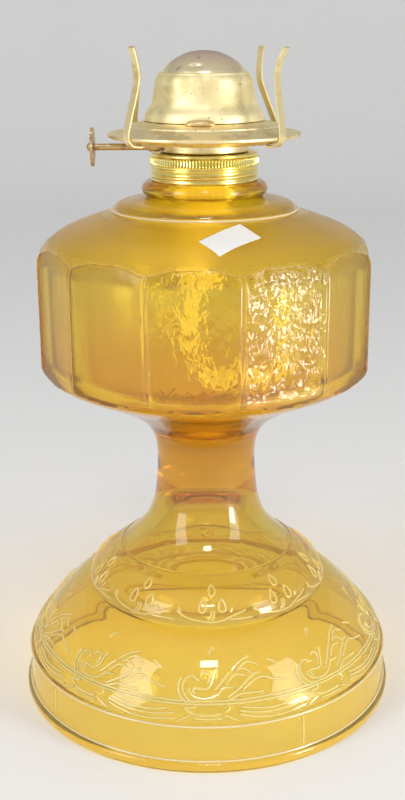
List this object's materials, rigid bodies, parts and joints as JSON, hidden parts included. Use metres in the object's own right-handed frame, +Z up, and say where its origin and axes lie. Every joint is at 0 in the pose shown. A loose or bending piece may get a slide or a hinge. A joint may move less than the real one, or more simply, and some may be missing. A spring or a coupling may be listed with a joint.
{
  "type": "glass oil lamp",
  "caption": "Amber glass stand lamp with a hollow foot, a panelled font and a brass flat-wick burner, without its chimney.",
  "frame": {"origin": "where the lamp's axis meets the surface that it stands on", "axes": "+Z up along the lamp's axis, -Y towards the viewer in the picture, the thumbwheel points to -X"},
  "size_m": [0.1616, 0.1616, 0.2727],
  "materials": {
    "amber_glass": "polished amber glass, stippled on the panels",
    "bright_brass": "bright rolled brass",
    "aged_brass": "aged pale brass with tarnish",
    "rosy_brass": "heat-tinted rosy brass",
    "dull_brass": "dull brown brass",
    "cotton": "woven cotton tape"
  },
  "bodies": {
    "glass_body": {"glass_lamp_body": "amber_glass"},
    "collar": {"screw_collar": "bright_brass"},
    "burner": {"burner_cup": "aged_brass", "gallery_deck": "aged_brass", "gallery_underside": "aged_brass", "air_screen": "aged_brass", "wick_tube": "aged_brass", "raiser_housing": "aged_brass", "shaft_bush": "dull_brass", "cone_catch_front": "aged_brass", "cone_catch_back": "aged_brass"},
    "raiser": {"wick_shaft": "dull_brass", "thumbwheel": "dull_brass", "spur_wheel_1": "dull_brass", "spur_wheel_2": "dull_brass", "spur_wheel_3": "dull_brass", "spur_wheel_4": "dull_brass"},
    "wick": {"wick": "cotton"},
    "cone": {"cone": "aged_brass", "dome_cap": "rosy_brass"},
    "prong_front_left": {"chimney_prong_front_left": "aged_brass"},
    "prong_front_right": {"chimney_prong_front_right": "aged_brass"},
    "prong_back_right": {"chimney_prong_back_right": "aged_brass"},
    "prong_back_left": {"chimney_prong_back_left": "aged_brass"}
  },
  "joints": [
    {"name": "collar_unscrew", "type": "hinge", "parent": "glass_body", "child": "collar", "pos_m": [0, 0, 0.2268], "axis": [0, 0, 1], "range_deg": [0, 720]},
    {"name": "burner_unscrew", "type": "hinge", "parent": "collar", "child": "burner", "pos_m": [0, 0, 0.2326], "axis": [0, 0, 1], "range_deg": [0, 630]},
    {"name": "raiser_turn", "type": "hinge", "parent": "burner", "child": "raiser", "pos_m": [0, -0.0061, 0.2351], "axis": [1, 0, 0], "range_deg": [-67, 107]},
    {"name": "wick_lift", "type": "slide", "parent": "burner", "child": "wick", "axis": [0, 0, 1], "range_m": [-0.005, 0.008]},
    {"name": "cone_lift", "type": "slide", "parent": "burner", "child": "cone", "axis": [0, 0, 1], "range_m": [0, 0.045]},
    {"name": "prong_front_left_flex", "type": "hinge", "parent": "burner", "child": "prong_front_left", "pos_m": [-0.02427, -0.02147, 0.2364], "axis": [0.6626, -0.749, 0], "range_deg": [0, 6], "stiffness_Nm_per_rad": 0.7},
    {"name": "prong_front_right_flex", "type": "hinge", "parent": "burner", "child": "prong_front_right", "pos_m": [0.02427, -0.02147, 0.2364], "axis": [0.6626, 0.749, 0], "range_deg": [0, 6], "stiffness_Nm_per_rad": 0.7},
    {"name": "prong_back_right_flex", "type": "hinge", "parent": "burner", "child": "prong_back_right", "pos_m": [0.02427, 0.02147, 0.2364], "axis": [-0.6626, 0.749, 0], "range_deg": [0, 6], "stiffness_Nm_per_rad": 0.7},
    {"name": "prong_back_left_flex", "type": "hinge", "parent": "burner", "child": "prong_back_left", "pos_m": [-0.02427, 0.02147, 0.2364], "axis": [-0.6626, -0.749, 0], "range_deg": [0, 6], "stiffness_Nm_per_rad": 0.7}
  ],
  "couplings": [
    {"joint": "raiser_turn", "follows": "wick_lift", "rad_per_m": 232.56}
  ]
}
